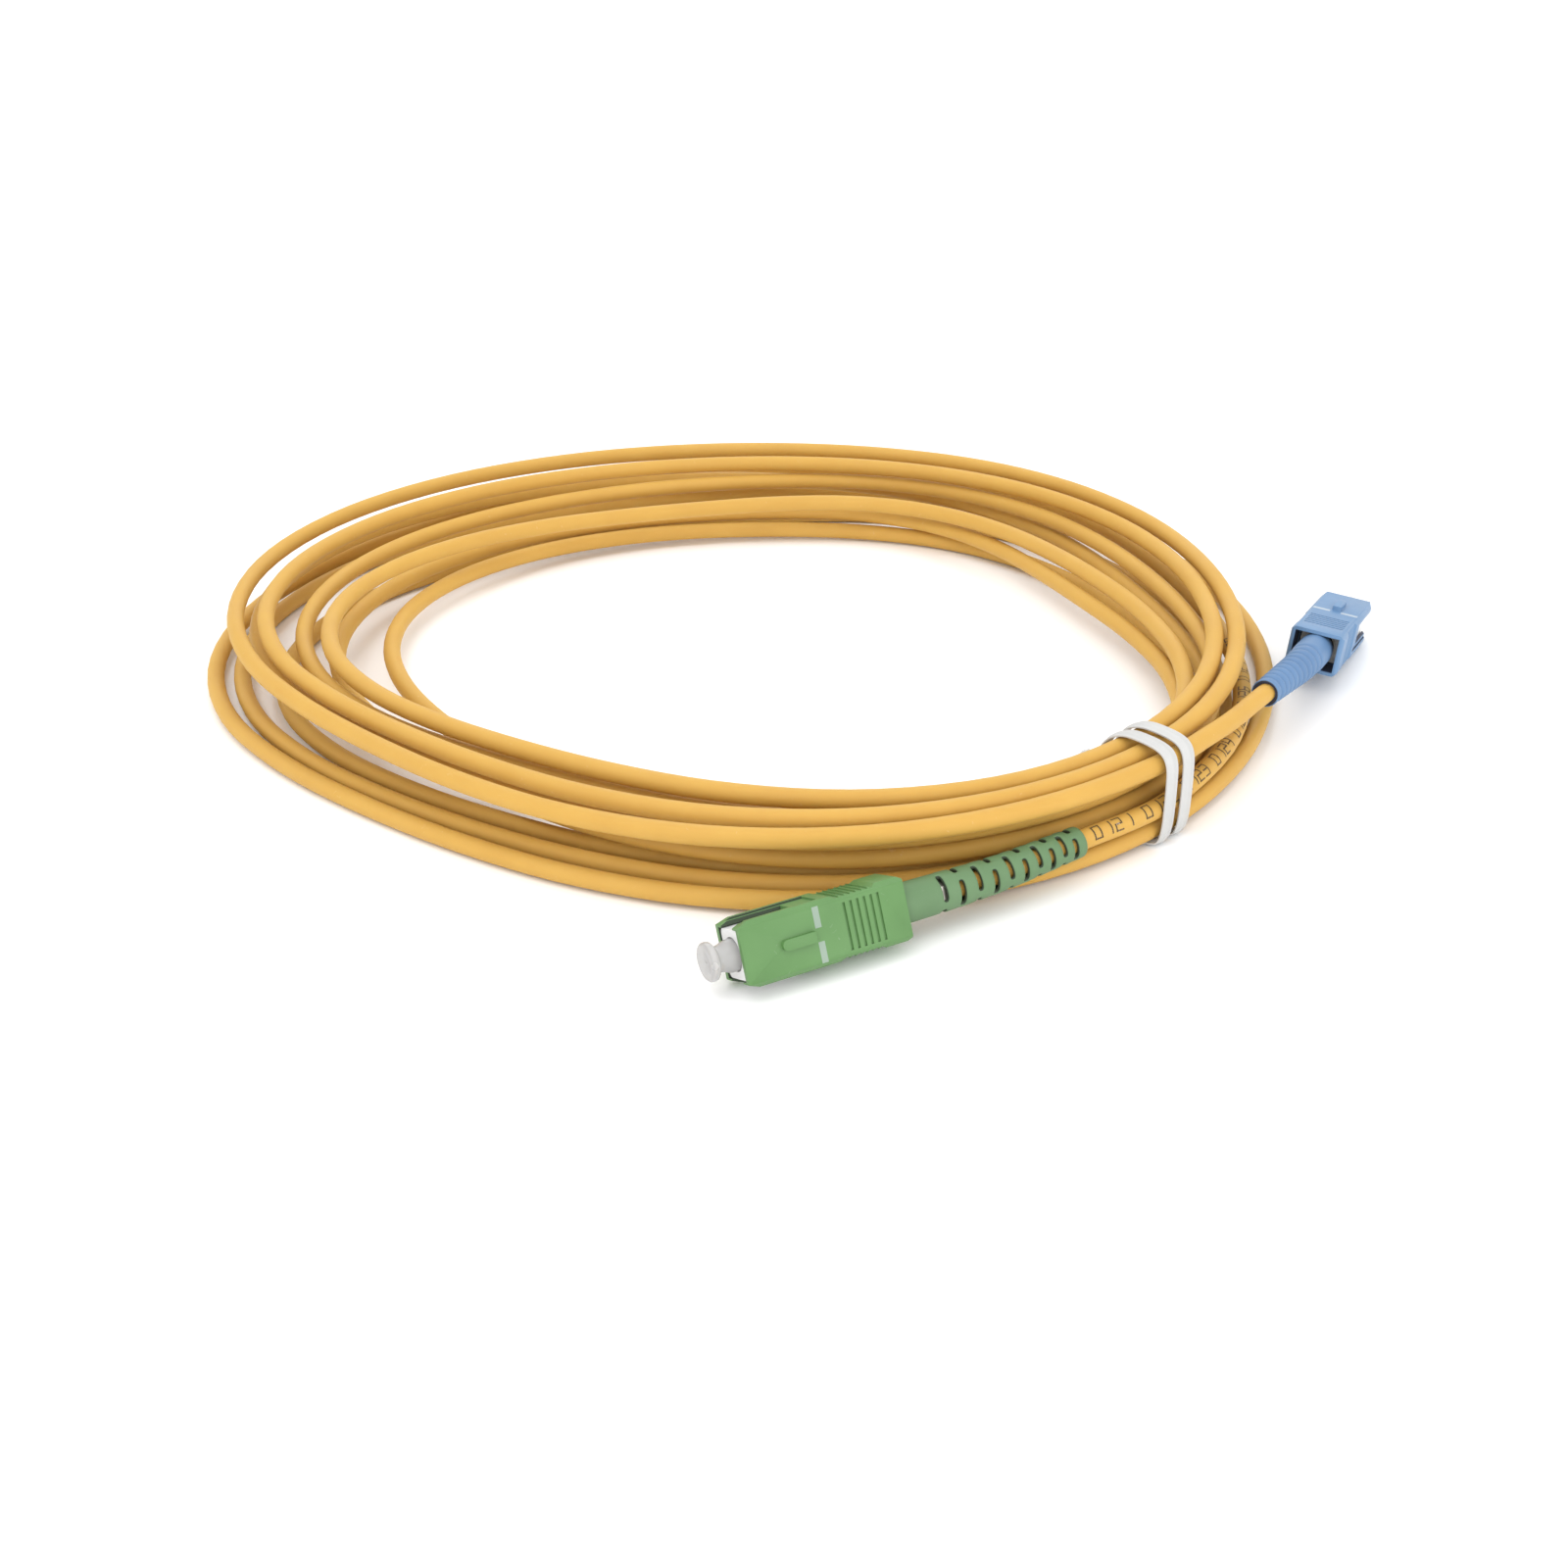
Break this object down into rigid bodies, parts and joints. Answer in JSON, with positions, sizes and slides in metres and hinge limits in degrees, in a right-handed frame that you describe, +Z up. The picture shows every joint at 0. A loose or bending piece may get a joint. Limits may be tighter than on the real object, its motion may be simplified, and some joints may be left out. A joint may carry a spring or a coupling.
{
  "type": "fiber optic patch cord",
  "caption": "Coiled simplex fibre patch cord held by a twist tie, with a green angled push-pull plug at one end and a blue one at the other, each with boot and dust cap.",
  "frame": {"origin": "middle of the overall bounding box, on the surface it lies on", "axes": "+Z up, square to the surface it lies on; +Y away from the viewer; +X to the viewer's right"},
  "size_m": [0.2075, 0.211, 0.0156],
  "materials": {
    "jacket": "smooth semi-matte yellow PVC jacket",
    "green_plastic": "moulded, satin",
    "blue_plastic": "moulded, satin",
    "green_boot": "matte elastomer",
    "blue_boot": "matte elastomer",
    "frame_plastic": "moulded white",
    "zirconia": "polished",
    "nickel_brass": "nickel plated brass",
    "nickel_copper": "nickel plated crimp metal",
    "spring_steel": "drawn wire",
    "aramid": "yarn",
    "buffer_plastic": "white tight buffer",
    "silica_glass": "bare fibre",
    "cap_plastic": "soft milky plastic",
    "tie_plastic": "white twist tie coating"
  },
  "bodies": {
    "cord": {"cable_coil": "jacket", "tie_sheath": "tie_plastic", "tie_wire": "spring_steel", "green_plug_frame": "frame_plastic", "green_stop_ring": "nickel_brass", "green_crimp_sleeve": "nickel_copper", "green_aramid_yarn": "aramid", "green_boot": "green_boot", "green_lead": "jacket", "green_ferrule_spring": "spring_steel", "blue_plug_frame": "frame_plastic", "blue_stop_ring": "nickel_brass", "blue_crimp_sleeve": "nickel_copper", "blue_aramid_yarn": "aramid", "blue_boot": "blue_boot", "blue_lead": "jacket", "blue_ferrule_spring": "spring_steel"},
    "green_grip_body": {"green_grip": "green_plastic"},
    "green_ferrule_body": {"green_ferrule": "zirconia", "green_ferrule_flange": "nickel_brass", "green_bare_fibre": "silica_glass", "green_buffered_fibre": "buffer_plastic"},
    "green_cap_body": {"green_dust_cap": "cap_plastic"},
    "blue_grip_body": {"blue_grip": "blue_plastic"},
    "blue_ferrule_body": {"blue_ferrule": "zirconia", "blue_ferrule_flange": "nickel_brass", "blue_bare_fibre": "silica_glass", "blue_buffered_fibre": "buffer_plastic"},
    "blue_cap_body": {"blue_dust_cap": "cap_plastic"}
  },
  "joints": [
    {"name": "green_grip_slide", "type": "slide", "parent": "cord", "child": "green_grip_body", "axis": [0.891, 0.454, 0], "range_m": [0, 0.0018]},
    {"name": "green_ferrule_slide", "type": "slide", "parent": "cord", "child": "green_ferrule_body", "axis": [0.891, 0.454, 0], "range_m": [0, 0.001], "stiffness_N_per_m": 3500, "springref_m": -0.002, "deforming": ["green_ferrule_spring"]},
    {"name": "green_cap_pull", "type": "slide", "parent": "green_ferrule_body", "child": "green_cap_body", "axis": [-0.891, -0.454, 0], "range_m": [0, 0.012]},
    {"name": "blue_grip_slide", "type": "slide", "parent": "cord", "child": "blue_grip_body", "axis": [-0.4378, -0.8898, 0.1288], "range_m": [0, 0.0018]},
    {"name": "blue_ferrule_slide", "type": "slide", "parent": "cord", "child": "blue_ferrule_body", "axis": [-0.4378, -0.8898, 0.1288], "range_m": [0, 0.001], "stiffness_N_per_m": 3500, "springref_m": -0.002, "deforming": ["blue_ferrule_spring"]},
    {"name": "blue_cap_pull", "type": "slide", "parent": "blue_ferrule_body", "child": "blue_cap_body", "axis": [0.4378, 0.8898, -0.1288], "range_m": [0, 0.012]}
  ]
}
